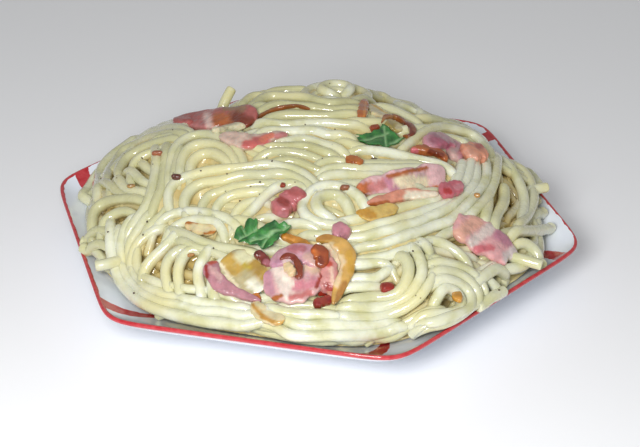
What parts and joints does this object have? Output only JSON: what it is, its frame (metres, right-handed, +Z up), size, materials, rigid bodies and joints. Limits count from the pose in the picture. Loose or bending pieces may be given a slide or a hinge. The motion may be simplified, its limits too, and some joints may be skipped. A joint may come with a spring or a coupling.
{
  "type": "plated spaghetti carbonara",
  "caption": "Heaped creamy spaghetti with bacon, fried onion and parsley on a small six-sided white plate with red brush marks.",
  "frame": {"origin": "middle of the foot ring, level with the table", "axes": "+Z up; the side that faces the diner is -Y"},
  "size_m": [0.1684, 0.1662, 0.0515],
  "materials": {
    "plate": "gloss",
    "noodle": "gloss",
    "bacon": "satin",
    "onion": "gloss",
    "parsley": "satin"
  },
  "bodies": {
    "root": {"plate": "plate", "spaghetti_heap": "noodle", "bacon_back_left": "bacon", "bacon_back_left_low": "bacon", "bacon_upper_right": "bacon", "bacon_upper_right_end": "bacon", "bacon_centre_strip": "bacon", "bacon_centre_low": "bacon", "bacon_centre_tip": "bacon", "bacon_right_large": "bacon", "bacon_centre_cube": "bacon", "bacon_front_fold": "bacon", "bacon_front_tail": "bacon", "bacon_front_right": "bacon", "bacon_small": "bacon", "onion_front_left": "onion", "onion_front_ring": "onion", "onion_front_strip": "onion", "onion_front_bottom": "onion", "onion_sliver_left": "onion", "onion_ring_back": "onion", "onion_back_upright": "onion", "onion_golden_centre": "onion", "onion_brown_centre": "onion", "onion_strip_back": "onion", "parsley_front": "parsley", "parsley_back": "parsley"}
  },
  "joints": []
}
